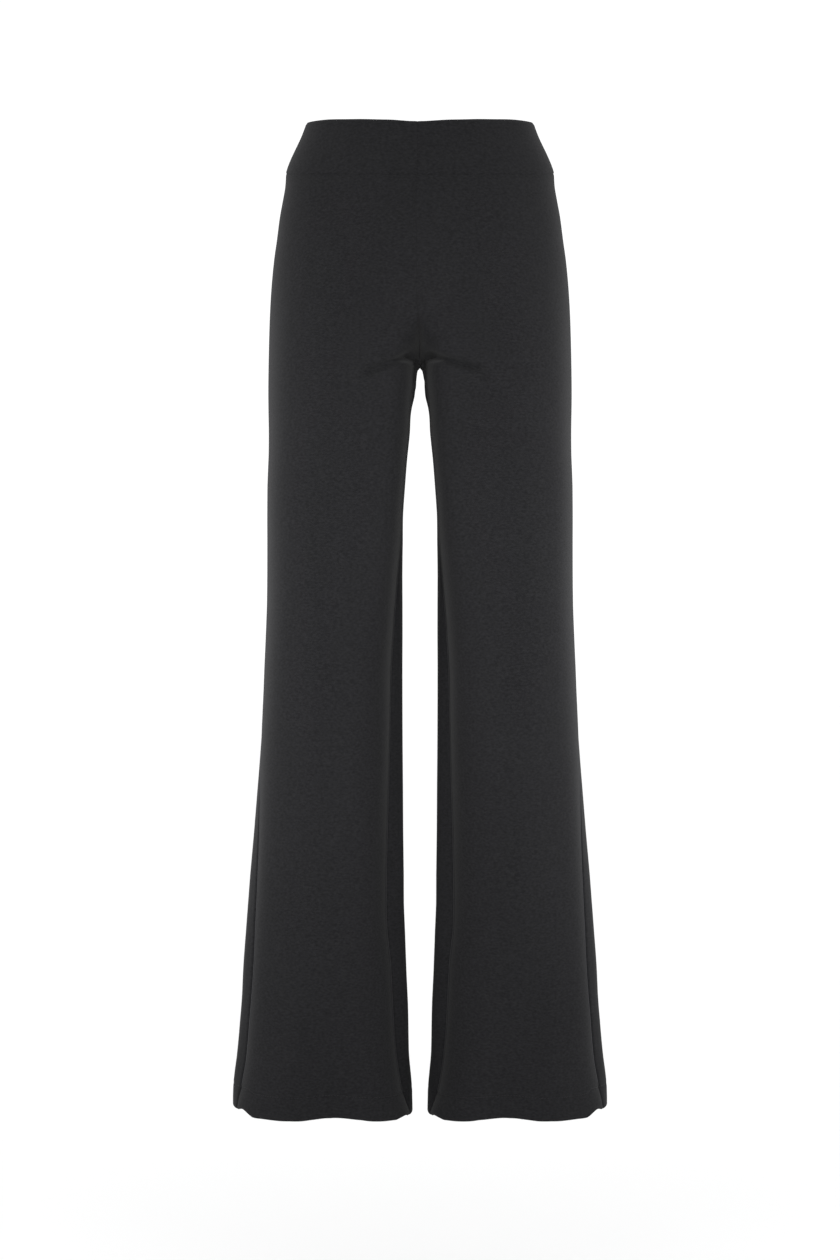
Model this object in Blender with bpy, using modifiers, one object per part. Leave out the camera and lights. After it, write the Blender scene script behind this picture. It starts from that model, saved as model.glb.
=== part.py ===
"""Palazzo trousers in heavy double-knit jersey, hollow, as they hang when worn.

A pull-on pair with no fly: two fronts and two backs, each cut in one piece from waist seam to hem, and a wide waistband in three pieces with a seam at the centre front and at each side.
Metres, +Z up. The front faces -Y and the wearer's left is +X. The origin is the middle of the waist opening, level with its top edge at the side seams.

Each leg panel is a loft of level sections. A section runs from the side seam, round the front or the back, to the panel's inner edge, which is the centre seam above the fork and the inseam below it. Above the fork a section is blended from a torso curve and a leg curve, and the centre seam bends under the body on a quarter ellipse, as a crotch seam does. Lengths in the tables are in millimetres.
"""

import bpy
import numpy as np

NAME = "palazzo_pants"
MM = 0.001

# Cloth
WALL = 1.5 * MM  # one layer of the knit
BAND_WALL = 3.0 * MM  # the waistband is the knit doubled
GAP = 0.3 * MM  # between two pieces at a seam
ROLL = 0.9 * MM  # how far a panel's edge turns in at its seam
ROLL_REACH = 3.0 * MM
PROUD = 1.0 * MM  # the waistband stands out from the panels under it

# Heights
WAIST_TILT = 0.148  # the waist opening is lower in front than behind
WAIST_DIP, DIP_REACH = 3.0 * MM, 30 * MM  # the top edge dips a little at the centre front seam
BAND_SIDE = -53.9 * MM  # lower edge of the band at the side seams
BAND_FRONT_TILT, BAND_BACK_TILT = 0.194, 0.090
TILT_END = -165 * MM  # the panels' rows are level from here down
FORK = -257.5 * MM  # the lowest point of the crotch seam
FRONT_RISE, BACK_RISE = 54 * MM, 105 * MM  # height of the curved part of the crotch seam
BLEND_RISE = 130 * MM  # torso curves turn into leg curves over this height
CLEFT = 14 * MM  # half width of the hollow above the fork
SOFT = 0.14  # the hollow runs into the leg over this share of its height
SPREAD = 0.35  # keeps the columns apart above the fork, where the leg curve's close up
SLOT = 6.5 * MM  # height of the rounded top of the gap between the legs
SETTLE = 60 * MM  # under the fork, the height over which the whole section comes to stand back from the gap
BESIDE_REACH = 34 * MM
HEM = -1059.6 * MM
HEM_START = -960 * MM
HEM_INNER = -6.5 * MM  # the hem is lower at the inseam,
HEM_MIDDLE, MIDDLE_AT, MIDDLE_REACH = 3.4 * MM, 0.545, 0.105  # higher in its middle, where a soft hollow runs down,
HEM_OUTER = {"front": 4.0 * MM, "back": 1.0 * MM}  # and drawn up a little beside the side seam
OUTER_AT, OUTER_REACH = 0.085, 0.06

# The waist opening
WAIST_HALF, WAIST_FRONT, WAIST_BACK = 122.4 * MM, 92 * MM, 88 * MM
WAIST_ROUND = 2.15

# Half width at the side seam, and how far the front and the back stand from it
TORSO = {
    "level": (-30, -56, -67, -82, -103, -125, -147, -168, -190, -211, -233, -262, -300),
    "half": (143.6, 143.6, 144.0, 146.4, 150.2, 153.2, 156.2, 158.1, 159.6, 160.7, 161.3, 161.8, 162.0),
    "front": (100, 103, 105, 108, 111, 113, 114.6, 115.6, 116, 115.6, 114.6, 112.6, 110),
    "back": (94, 99, 102.5, 108, 114, 119, 122.5, 125, 126.3, 126, 124.3, 120.5, 115),
    "round": (2.15, 2.15, 2.16, 2.17, 2.18, 2.19, 2.2, 2.2, 2.2, 2.2, 2.2, 2.2, 2.2),
}

# The leg's widest lines (outer, inner), how far inside them the two seams lie, its depth before and behind the side seam, its middle, the places of the inseam and the side seam in depth, and how square each corner of the section is
LEG = {
    "level": (-130, -190, -233, -262, -275, -290, -305, -335, -383, -432, -480, -540, -600, -642, -700, -760, -815, -860, -905, -950, -1000, -1030, -1048, -1062),
    "outer": (154.0, 159.6, 161.3, 161.8, 162.0, 162.0, 162.0, 161.8, 162.6, 163.2, 163.3, 164.1, 166.3, 168.5, 172.4, 177.4, 182.2, 185.9, 189.2, 191.7, 196.4, 200.8, 202.1, 202.2),
    "out_in": (0, 0, 0, 0, 0, 0, 0, 0, 0, 0, 0, 0, 0.4, 1.4, 4.2, 7.8, 10.6, 11.8, 13.0, 12.2, 12.6, 11.3, 7.6, 5.5),
    "inner": (0, 0, 0, 4.1, 4.0, 5.2, 9.2, 12.2, 16.3, 19.1, 19.6, 19.5, 19.4, 19.3, 18.9, 18.2, 17.4, 16.5, 15.2, 13.0, 12.0, 10.0, 9.0, 8.6),
    "in_in": (0, 0, 0, 2.0, 2.2, 2.6, 0.6, 0.2, 0.3, 1.6, 5.2, 10.2, 13.2, 13.8, 15.6, 17.9, 19.4, 19.9, 17.2, 17.0, 14.2, 12.2, 7.6, 3.0),
    "front": (108, 111, 111, 110, 109.4, 108.6, 107.6, 105.6, 102.4, 99.4, 96.8, 94, 91.6, 90, 88, 86.2, 84.8, 83.6, 82.4, 81.4, 80.4, 79.8, 79.5, 79.3),
    "back": (116, 121, 121, 118.5, 117, 115, 113, 109.4, 105.4, 102.4, 100.2, 98, 96, 94.6, 93, 91.6, 90.4, 89.6, 88.8, 88, 87.2, 86.8, 86.5, 86.3),
    "middle": (77.5, 80.2, 81.5, 82.5, 83.3, 84.4, 85.6, 87.2, 89.8, 91.6, 93.2, 95.2, 97.2, 98.3, 99.8, 101.2, 102.6, 103.6, 104.2, 104.4, 105.0, 105.6, 105.8, 105.5),
    "inseam_y": (15, 15, 15, 15, 14.6, 14, 13, 11, 6, 0, -6, -12, -17, -20, -23, -26, -28, -29, -29, -27, -21, -16, -12, -10),
    "outseam_y": (0, 0, 0, 0, 0, 0, 0, 0, 0, 0, 0, -1, -6, -12, -21, -27, -30, -31, -31, -28, -21, -16, -12, -10),
    "round_out": (2.2, 2.2, 2.2, 2.2, 2.2, 2.2, 2.2, 2.2, 2.2, 2.2, 2.18, 2.15, 2.05, 1.95, 1.8, 1.7, 1.65, 1.62, 1.62, 1.62, 1.65, 1.7, 1.7, 1.68),
    "round_in": (3.2, 3.5, 4.2, 4.9, 5.1, 5.3, 5.5, 5.6, 5.4, 4.7, 3.8, 3.0, 2.5, 2.3, 2.1, 2.0, 1.92, 1.9, 1.9, 1.95, 2.1, 2.3, 2.4, 2.4),
    "round_back": (2.2, 2.2, 2.2, 2.2, 2.2, 2.2, 2.2, 2.2, 2.25, 2.3, 2.3, 2.35, 2.4, 2.4, 2.45, 2.5, 2.5, 2.5, 2.5, 2.5, 2.5, 2.5, 2.5, 2.5),
}
WIDEST = 24 * MM  # the back of the leg is widest this far behind the side seam
WIDEST_INNER = 14 * MM  # and this far behind the inseam

# Drag lines that run out from the fork over the front of each thigh, by the wearer's side: from (x, z) to (x, z), depth and half width
DRAGS = {
    "side": (-1, -1, 1, 1),
    "x0": (9, 16, 9, 18),
    "z0": (-255, -275, -254, -273),
    "x1": (58, 46, 60, 42),
    "z1": (-277, -299, -271.5, -292),
    "deep": (2.8, 1.0, 3.2, 0.8),
    "wide": (7.5, 10, 6, 9),
}
# Soft flutes at the hem: the share of the panel's width where each lies, how far it stands out (or in), its reach across, and the height at which it has died away
FLUTES = {
    "face": ("front", "front", "front", "back", "back", "back"),
    "share": (0.335, 0.52, 0.735, 0.30, 0.50, 0.70),
    "out": (2.0, -8.6, 2.6, 2.4, -7.0, 2.6),
    "reach": (0.085, 0.085, 0.075, 0.09, 0.09, 0.08),
    "top": (-880, -820, -860, -870, -800, -880),
}

COLOUR = (0.0212, 0.0210, 0.0222, 1.0)
BAND_COLOUR = (0.0225, 0.0223, 0.0235, 1.0)

COLUMNS = (0, 0.013, 0.04, 0.1, 0.18, 0.27, 0.38, 0.5, 0.62, 0.73, 0.83, 0.91, 0.965, 0.987, 1)
PER_CORNER = 48  # points along each quarter of a section before it is divided evenly


def ease(x):
    """0 below 0, 1 above 1, smooth between."""
    x = np.clip(x, 0, 1)
    return x * x * (3 - 2 * x)


def bump(x, middle, reach):
    """A smooth hump of height 1."""
    return np.exp(-(((x - middle) / reach) ** 2))


def at(table, column, z):
    """A table's column at heights z, in metres, on a smooth curve through its rows."""
    level = np.asarray(table["level"], float)[::-1] * MM
    value = np.asarray(table[column], float)[::-1]
    step = np.diff(level)
    rise = np.diff(value) / step
    slope = np.empty_like(value)
    slope[0], slope[-1] = rise[0], rise[-1]
    flat = rise[1:] * rise[:-1] <= 0
    with np.errstate(divide="ignore", invalid="ignore"):
        a, b = 2 * step[1:] + step[:-1], step[1:] + 2 * step[:-1]
        slope[1:-1] = np.where(flat, 0, (a + b) / (a / rise[:-1] + b / rise[1:]))
    z = np.clip(z, level[0], level[-1])
    k = np.clip(np.searchsorted(level, z) - 1, 0, len(step) - 1)
    t = (z - level[k]) / step[k]
    found = (
        (1 + 2 * t) * (1 - t) ** 2 * value[k]
        + t * (1 - t) ** 2 * step[k] * slope[k]
        + t * t * (3 - 2 * t) * value[k + 1]
        + t * t * (t - 1) * step[k] * slope[k + 1]
    )
    return found if column.startswith("round") else found * MM


def corner(power, count=PER_CORNER):
    """A quarter of a superellipse, from (1, 0) to (0, 1), for an array of powers."""
    a = np.pi / 4 * (1 - np.cos(np.linspace(0, np.pi, count)))
    power = 2 / np.asarray(power, float)[..., None]
    return np.cos(a).clip(0) ** power, np.sin(a) ** power


def torso_curve(face, z):
    """The section from the side seam to the centre, as x and y arrays with one more axis than z."""
    c, s = corner(at(TORSO, "round", z))
    deep = at(TORSO, face, z)[..., None]
    return at(TORSO, "half", z)[..., None] * c, (-deep if face == "front" else deep) * s


def slot_share(z):
    """How open the gap between the legs is just under the fork: 0 at the fork, 1 below its rounded top."""
    d = np.clip((FORK - z) / SLOT, 0, 1)
    return np.sqrt(1 - (1 - d) ** 2)


def stand_back(x, inner, beside):
    """How far the points of a section move away from the gap between the legs."""
    return beside[..., None] * (1 - np.clip((x - inner[..., None]) / BESIDE_REACH, 0, 1)) ** 2


def leg_curve(face, z):
    """The section from the side seam round the leg to the inseam."""
    open_ = slot_share(z)
    outer, inner = at(LEG, "outer", z), at(LEG, "inner", z)
    below = at(LEG, "inner", np.minimum(z, FORK - SLOT))
    inner = np.where(z > FORK - SLOT, open_ * below, inner)
    # Just under the fork only the cloth beside the gap stands back from it; the rest of the section follows lower down.
    beside = inner * (1 - ease((FORK - z) / SETTLE))
    inner = inner - beside
    seam_out = (outer - at(LEG, "out_in", z))[..., None]
    seam_in = (inner + at(LEG, "in_in", z) * open_)[..., None]
    y_out, y_in, mid = (at(LEG, c, z)[..., None] for c in ("outseam_y", "inseam_y", "middle"))
    if face == "front":
        deep = -at(LEG, "front", z)[..., None]
        c, s = corner(at(LEG, "round_out", z))
        x, y = mid + (seam_out - mid) * c, y_out + (deep - y_out) * s
        c, s = (v[..., ::-1] for v in corner(at(LEG, "round_in", z)))
        x = np.concatenate([x, (mid + (seam_in - mid) * c)[..., 1:]], -1)
        y = np.concatenate([y, (y_in + (deep - y_in) * s)[..., 1:]], -1)
        return x + stand_back(x, inner, beside), y
    outer, inner = outer[..., None], inner[..., None]
    deep = at(LEG, "back", z)[..., None]
    t = np.linspace(0, 1, 12)
    side_x, side_y = outer + (seam_out - outer) * (1 - t) ** 2, y_out + WIDEST * t
    in_x, in_y = inner + (seam_in - inner) * t**2, y_in + WIDEST_INNER * (1 - t)
    c, s = corner(at(LEG, "round_back", z))
    out_y, far_y = y_out + WIDEST + (deep - y_out - WIDEST) * s, y_in + WIDEST_INNER + (deep - y_in - WIDEST_INNER) * s
    x = np.concatenate([side_x, (mid + (outer - mid) * c)[..., 1:], (mid + (inner - mid) * c)[..., -2::-1], in_x[..., 1:]], -1)
    y = np.concatenate([side_y, out_y[..., 1:], far_y[..., -2::-1], in_y[..., 1:]], -1)
    return x + stand_back(x, inner[..., 0], beside), y


def walked(curve):
    """Distance along a curve at each of its points."""
    x, y = curve
    d = np.hypot(np.diff(x), np.diff(y))
    return np.concatenate([np.zeros_like(d[..., :1]), np.cumsum(d, -1)], -1)


def along(curve, length, share):
    """The points at shares of a curve's length, one for each curve."""
    target = share * length[..., -1]
    k = np.clip((length < target[..., None]).sum(-1) - 1, 0, length.shape[-1] - 2)[..., None]
    a, b = (np.take_along_axis(length, k + i, -1)[..., 0] for i in (0, 1))
    t = (target - a) / np.maximum(b - a, 1e-9)
    return [
        (1 - t) * np.take_along_axis(v, k, -1)[..., 0] + t * np.take_along_axis(v, k + 1, -1)[..., 0]
        for v in curve
    ]


def share_at_x(curve, length, x):
    """The share of a torso curve's length at which it lies a distance x from the centre."""
    run_x = curve[0]
    k = np.clip((run_x > x[..., None]).sum(-1) - 1, 0, run_x.shape[-1] - 2)[..., None]
    (xa, xb), (a, b) = ([np.take_along_axis(v, k + i, -1)[..., 0] for i in (0, 1)] for v in (run_x, length))
    t = np.clip((xa - x) / np.maximum(xa - xb, 1e-9), 0, 1)
    return (a + (b - a) * t) / length[..., -1]


def panel_xy(face, share, z):
    """Where the cloth is at these shares of the panel's width and at these heights, and how wide the panel is there."""
    torso, leg = torso_curve(face, z), leg_curve(face, z)
    torso_run, leg_run = walked(torso), walked(leg)
    leg_x, leg_y = along(leg, leg_run, share)
    # A point of the torso curve answers to the point of the leg curve as far from the side seam, or, towards the centre, as far from the centre.
    beside = leg_run[..., -1] * share / torso_run[..., -1]
    inward = share_at_x(torso, torso_run, leg_x * at(TORSO, "half", z) / at(LEG, "outer", z))
    inward = inward - SPREAD * (1 - share) * share**4 * ease((z - FORK) / FRONT_RISE)
    answer = beside + (inward - beside) * ease((share - 0.15) / 0.35)
    near = ease((BAND_SIDE - z) / (BAND_SIDE - FORK - BLEND_RISE))
    x, y = along(torso, torso_run, share + (answer - share) * near)
    up = np.clip((z - FORK) / (FRONT_RISE if face == "front" else BACK_RISE), 0, 1)
    seam = 1 - np.sqrt(1 - (1 - up) ** 2)
    soft = up**2 * (1 + SOFT) / (up + SOFT)
    hollow = seam + ((1 - soft) ** 2.3 - seam) * ease(leg_x / CLEFT)
    away = 1 - ease((z - FORK) / BLEND_RISE)
    w = hollow + (away - hollow) * ease((leg_x - 0.7 * CLEFT) / (3.2 * CLEFT))
    w = np.where(z > FORK, w, 1)
    width = torso_run[..., -1] * (1 - w) + leg_run[..., -1] * w
    return x + (leg_x - x) * w, y + (leg_y - y) * w, width


def band_drop(face, share):
    """How much lower or higher a piece's top edge is than at the side seam."""
    x, y, _ = panel_xy(face, share, np.full_like(share, BAND_SIDE - 2 * MM))
    return y * (BAND_FRONT_TILT if face == "front" else BAND_BACK_TILT)


def levels():
    """The heights of a panel's rows: closer together at the fork, where the centre seam turns under."""
    turn = FORK + FRONT_RISE * (1 - np.sin(np.linspace(0.12, np.pi / 2, 9)))
    slot = FORK - SLOT * (1 - np.cos(np.linspace(0, np.pi / 2, 4)))[1:]
    leg = [slot[-1] - 9 * MM, slot[-1] - 22 * MM, slot[-1] - 42 * MM]
    leg += list(np.linspace(slot[-1] - 72 * MM, HEM + 56 * MM, 9))
    leg += [HEM + 26 * MM, HEM + 10 * MM, HEM]
    top = [BAND_SIDE, BAND_SIDE - 5 * MM, BAND_SIDE - 14 * MM]
    top += list(np.linspace(BAND_SIDE - 30 * MM, turn[0] + 18 * MM, 5))
    return np.concatenate([top, turn, slot, leg])


def normals(grid):
    """The unit normals of a grid of points, from the differences of its rows and columns."""
    n = np.cross(np.gradient(grid, axis=1), np.gradient(grid, axis=0))
    return n / np.linalg.norm(n, axis=-1, keepdims=True)


def panel_grid(face, side, share, rows):
    """A leg panel's outer surface on the wearer's left, as rows of points, with the folds of the given side."""
    q = np.broadcast_to(share, (len(rows), len(share)))
    level = np.broadcast_to(rows[:, None], q.shape)
    tilt = ease((level - TILT_END) / (BAND_SIDE - TILT_END))
    fall = ease((HEM_START - level) / (HEM_START - HEM))
    lift = HEM_INNER * q**11 + HEM_MIDDLE * bump(q, MIDDLE_AT, MIDDLE_REACH) + HEM_OUTER[face] * bump(q, OUTER_AT, OUTER_REACH)
    z = level + band_drop(face, q) * tilt + lift * fall
    x, y, width = panel_xy(face, q, z)
    grid = np.stack([x, y, z], -1)
    out = normals(grid) * (1 if face == "front" else -1)
    edge = np.minimum(q, 1 - q) * width
    move = -ROLL * bump(edge, 0, ROLL_REACH)
    for f, s, o, r, top in zip(*(FLUTES[k] for k in ("face", "share", "out", "reach", "top"))):
        if f == face:
            grown = ease((top * MM - z) / (top * MM - HEM)) ** 1.5
            move = move + o * MM * grown * bump(q, s, r)
    if face == "front":
        for k, s in enumerate(DRAGS["side"]):
            if s == side:
                x0, z0, x1, z1, deep, wide = (DRAGS[c][k] * MM for c in ("x0", "z0", "x1", "z1", "deep", "wide"))
                run = np.array([x1 - x0, z1 - z0])
                t = ((x - x0) * run[0] + (z - z0) * run[1]) / (run @ run)
                off = np.hypot(x - x0 - t.clip(0, 1) * run[0], z - z0 - t.clip(0, 1) * run[1])
                move = move - deep * (1 - 0.75 * t.clip(0, 1)) * bump(off, 0, wide) * (y < 0)
    grid = grid + out * move[..., None]
    grid[..., 0] = grid[..., 0].clip(0) + GAP / 2
    grid[..., 1] += (-1 if face == "front" else 1) * GAP / 2
    grid[..., 2] -= GAP / 2 * tilt
    return grid


def band_grid(face, share, heights):
    """Half of the waistband's front or back on the wearer's left: straight from the top edge to the lower edge, which follows the panels."""
    q, h = np.meshgrid(share, heights)
    c, s = (v[..., 0] for v in along_waist(q))
    deep = -WAIST_FRONT if face == "front" else WAIST_BACK
    top = np.stack([WAIST_HALF * c, deep * s, 0 * s], -1)
    top[..., 2] = top[..., 1] * WAIST_TILT
    if face == "front":
        top[..., 2] -= WAIST_DIP * bump(top[..., 0], 0, DIP_REACH)
    z = BAND_SIDE + band_drop(face, q)
    x, y, _ = panel_xy(face, q, z)
    low = np.stack([x, y, z], -1)
    out = np.stack([x, y * (WAIST_HALF / WAIST_FRONT) ** 2, 0 * x], -1)
    low += PROUD * out / np.linalg.norm(out, axis=-1, keepdims=True)
    lean = np.minimum(h / 0.965, 1)[..., None]  # the last of it hangs straight down
    lean = lean + 0.35 * (ease(lean) - lean)
    grid = top + (low - top) * lean
    grid[..., 2] = top[..., 2] + (low[..., 2] - top[..., 2]) * h + GAP / 2
    grid[..., 0] += GAP / 2
    grid[..., 1] += (-1 if face == "front" else 1) * GAP / 2
    return grid


def along_waist(share):
    """The waist opening's unit curve at shares of its length."""
    c, s = corner(np.full_like(share, WAIST_ROUND))
    curve = (c, s * WAIST_FRONT / WAIST_HALF)
    x, y = along(curve, walked(curve), share)
    return x[..., None], (y * WAIST_HALF / WAIST_FRONT)[..., None]


def lofted(name, grid, flip, wall, colour, collection):
    """An object of quads through a grid of points, thickened inwards."""
    rows, columns = grid.shape[:2]
    k = np.arange(rows * columns).reshape(rows, columns)
    quads = np.stack([k[:-1, :-1], k[:-1, 1:], k[1:, 1:], k[1:, :-1]], -1).reshape(-1, 4)
    mesh = bpy.data.meshes.new(name)
    mesh.from_pydata(grid.reshape(-1, 3).tolist(), [], (quads[:, ::-1] if flip else quads).tolist())
    mesh.shade_smooth()
    piece = bpy.data.objects.new(name, mesh)
    collection.objects.link(piece)
    thick = piece.modifiers.new("wall", "SOLIDIFY")
    thick.thickness, thick.offset = wall, -1
    material = bpy.data.materials.new(name)
    material.use_nodes = True
    shader = material.node_tree.nodes["Principled BSDF"]
    shader.inputs["Base Color"].default_value = colour
    shader.inputs["Roughness"].default_value = 0.9
    shader.inputs["Metallic"].default_value = 0.0
    shader.inputs["Sheen Weight"].default_value = 0.4
    mesh.materials.append(material)
    return piece


def main():
    for old in list(bpy.data.objects):
        bpy.data.objects.remove(old)
    collection = bpy.data.collections.new(NAME)
    bpy.context.scene.collection.children.link(collection)
    mirror = np.array([-1.0, 1.0, 1.0])
    share, rows = np.array(COLUMNS, float), levels()
    heights = np.array([0, 0.22, 0.5, 0.75, 0.965, 1])
    across = np.array([0, 0.02, 0.16, 0.33, 0.5, 0.67, 0.84, 0.98, 1])
    for side, word in ((1, "left"), (-1, "right")):
        turn = np.where(side > 0, 1.0, mirror)
        for face in ("front", "back"):
            lofted(f"{face}_{word}", panel_grid(face, side, share, rows) * turn, (face == "back") ^ (side < 0), WALL, COLOUR, collection)
        lofted(f"waistband_front_{word}", band_grid("front", across, heights) * turn, side < 0, BAND_WALL, BAND_COLOUR, collection)
    half = band_grid("back", across, heights)
    half[:, -1, 0] = 0
    whole = np.concatenate([half, (half * mirror)[:, -2::-1]], 1)
    lofted("waistband_back", whole, True, BAND_WALL, BAND_COLOUR, collection)


main()
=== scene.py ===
"""Looks of the palazzo trousers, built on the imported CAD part.

Every panel is rebuilt as a thin closed shell on the form of its CAD node: the same sections, with many more rows and columns, a turned-up hem, seam allowances and the creases of the photo. Units are metres, +Z is up, the front faces -Y and the wearer's left is +X.
"""

import bpy
import numpy as np
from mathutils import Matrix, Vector


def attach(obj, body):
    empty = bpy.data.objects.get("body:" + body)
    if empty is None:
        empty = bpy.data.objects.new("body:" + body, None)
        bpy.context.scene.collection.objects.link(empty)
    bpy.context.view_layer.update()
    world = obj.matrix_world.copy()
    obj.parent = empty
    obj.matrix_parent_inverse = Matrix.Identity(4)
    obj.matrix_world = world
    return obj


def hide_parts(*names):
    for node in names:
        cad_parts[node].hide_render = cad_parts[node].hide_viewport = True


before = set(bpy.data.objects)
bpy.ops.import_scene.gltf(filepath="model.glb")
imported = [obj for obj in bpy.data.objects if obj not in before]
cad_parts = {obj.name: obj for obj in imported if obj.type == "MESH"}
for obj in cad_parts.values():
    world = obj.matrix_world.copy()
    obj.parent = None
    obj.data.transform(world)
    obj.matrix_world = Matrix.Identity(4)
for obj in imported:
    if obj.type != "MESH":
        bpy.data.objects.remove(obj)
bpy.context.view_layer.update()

MM = 0.001

# Cloth
WALL = 1.5 * MM  # one layer of the knit
BAND_WALL = 3.0 * MM  # the waistband is the knit doubled
GAP = 0.3 * MM  # between two pieces at a seam
ROLL = 0.9 * MM  # how far a panel's edge turns in at its seam
ROLL_REACH = 3.0 * MM
PROUD = 1.0 * MM  # the waistband stands out from the panels under it

# Heights
WAIST_TILT = 0.148  # the waist opening is lower in front than behind
WAIST_DIP, DIP_REACH = 3.0 * MM, 30 * MM  # the top edge dips a little at the centre front seam
BAND_SIDE = -53.9 * MM  # lower edge of the band at the side seams
BAND_FRONT_TILT, BAND_BACK_TILT = 0.194, 0.090
TILT_END = -165 * MM  # the panels' rows are level from here down
FORK = -257.5 * MM  # the lowest point of the crotch seam
FRONT_RISE, BACK_RISE = 54 * MM, 105 * MM  # height of the curved part of the crotch seam
BLEND_RISE = 130 * MM  # torso curves turn into leg curves over this height
CLEFT = 14 * MM  # half width of the hollow above the fork
SOFT = 0.14  # the hollow runs into the leg over this share of its height
SPREAD = 0.35  # keeps the columns apart above the fork, where the leg curve's close up
SLOT = 6.5 * MM  # height of the rounded top of the gap between the legs
SETTLE = 60 * MM  # under the fork, the height over which the whole section comes to stand back from the gap
BESIDE_REACH = 34 * MM
HEM = -1059.6 * MM
HEM_START = -960 * MM
HEM_INNER = -6.5 * MM  # the hem is lower at the inseam,
HEM_MIDDLE, MIDDLE_AT, MIDDLE_REACH = 3.4 * MM, 0.545, 0.105  # higher in its middle, where a soft hollow runs down,
HEM_OUTER = {"front": 4.0 * MM, "back": 1.0 * MM}  # and drawn up a little beside the side seam
OUTER_AT, OUTER_REACH = 0.085, 0.06

# The waist opening
WAIST_HALF, WAIST_FRONT, WAIST_BACK = 122.4 * MM, 92 * MM, 88 * MM
WAIST_ROUND = 2.15

# Half width at the side seam, and how far the front and the back stand from it
TORSO = {
    "level": (-30, -56, -67, -82, -103, -125, -147, -168, -190, -211, -233, -262, -300),
    "half": (143.6, 143.6, 144.0, 146.4, 150.2, 153.2, 156.2, 158.1, 159.6, 160.7, 161.3, 161.8, 162.0),
    "front": (100, 103, 105, 108, 111, 113, 114.6, 115.6, 116, 115.6, 114.6, 112.6, 110),
    "back": (94, 99, 102.5, 108, 114, 119, 122.5, 125, 126.3, 126, 124.3, 120.5, 115),
    "round": (2.15, 2.15, 2.16, 2.17, 2.18, 2.19, 2.2, 2.2, 2.2, 2.2, 2.2, 2.2, 2.2),
}

# The leg's widest lines (outer, inner), how far inside them the two seams lie, its depth before and behind the side seam, its middle, the places of the inseam and the side seam in depth, and how square each corner of the section is
LEG = {
    "level": (-130, -190, -233, -262, -275, -290, -305, -335, -383, -432, -480, -540, -600, -642, -700, -760, -815, -860, -905, -950, -1000, -1030, -1048, -1062),
    "outer": (154.0, 159.6, 161.3, 161.8, 162.0, 162.0, 162.0, 161.8, 162.6, 163.2, 163.3, 164.1, 166.3, 168.5, 172.4, 177.4, 182.2, 185.9, 189.2, 191.7, 196.4, 200.8, 202.1, 202.2),
    "out_in": (0, 0, 0, 0, 0, 0, 0, 0, 0, 0, 0, 0, 0.4, 1.4, 4.2, 7.8, 10.6, 11.8, 13.0, 12.2, 12.6, 11.3, 7.6, 5.5),
    "inner": (0, 0, 0, 4.1, 4.0, 5.2, 9.2, 12.2, 16.3, 19.1, 19.6, 19.5, 19.4, 19.3, 18.9, 18.2, 17.4, 16.5, 15.2, 13.0, 12.0, 10.0, 9.0, 8.6),
    "in_in": (0, 0, 0, 2.0, 2.2, 2.6, 0.6, 0.2, 0.3, 1.6, 5.2, 10.2, 13.2, 13.8, 15.6, 17.9, 19.4, 19.9, 17.2, 17.0, 14.2, 12.2, 7.6, 3.0),
    "front": (108, 111, 111, 110, 109.4, 108.6, 107.6, 105.6, 102.4, 99.4, 96.8, 94, 91.6, 90, 88, 86.2, 84.8, 83.6, 82.4, 81.4, 80.4, 79.8, 79.5, 79.3),
    "back": (116, 121, 121, 118.5, 117, 115, 113, 109.4, 105.4, 102.4, 100.2, 98, 96, 94.6, 93, 91.6, 90.4, 89.6, 88.8, 88, 87.2, 86.8, 86.5, 86.3),
    "middle": (77.5, 80.2, 81.5, 82.5, 83.3, 84.4, 85.6, 87.2, 89.8, 91.6, 93.2, 95.2, 97.2, 98.3, 99.8, 101.2, 102.6, 103.6, 104.2, 104.4, 105.0, 105.6, 105.8, 105.5),
    "inseam_y": (15, 15, 15, 15, 14.6, 14, 13, 11, 6, 0, -6, -12, -17, -20, -23, -26, -28, -29, -29, -27, -21, -16, -12, -10),
    "outseam_y": (0, 0, 0, 0, 0, 0, 0, 0, 0, 0, 0, -1, -6, -12, -21, -27, -30, -31, -31, -28, -21, -16, -12, -10),
    "round_out": (2.2, 2.2, 2.2, 2.2, 2.2, 2.2, 2.2, 2.2, 2.2, 2.2, 2.18, 2.15, 2.05, 1.95, 1.8, 1.7, 1.65, 1.62, 1.62, 1.62, 1.65, 1.7, 1.7, 1.68),
    "round_in": (3.2, 3.5, 4.2, 4.9, 5.1, 5.3, 5.5, 5.6, 5.4, 4.7, 3.8, 3.0, 2.5, 2.3, 2.1, 2.0, 1.92, 1.9, 1.9, 1.95, 2.1, 2.3, 2.4, 2.4),
    "round_back": (2.2, 2.2, 2.2, 2.2, 2.2, 2.2, 2.2, 2.2, 2.25, 2.3, 2.3, 2.35, 2.4, 2.4, 2.45, 2.5, 2.5, 2.5, 2.5, 2.5, 2.5, 2.5, 2.5, 2.5),
}
WIDEST = 24 * MM  # the back of the leg is widest this far behind the side seam
WIDEST_INNER = 14 * MM  # and this far behind the inseam

# Drag lines that run out from the fork over the front of each thigh, by the wearer's side: from (x, z) to (x, z), depth and half width
DRAGS = {
    "side": (-1, -1, 1, 1),
    "x0": (9, 16, 9, 18),
    "z0": (-255, -275, -254, -273),
    "x1": (58, 46, 60, 42),
    "z1": (-277, -299, -271.5, -292),
    "deep": (2.8, 1.0, 3.2, 0.8),
    "wide": (7.5, 10, 6, 9),
}
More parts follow.
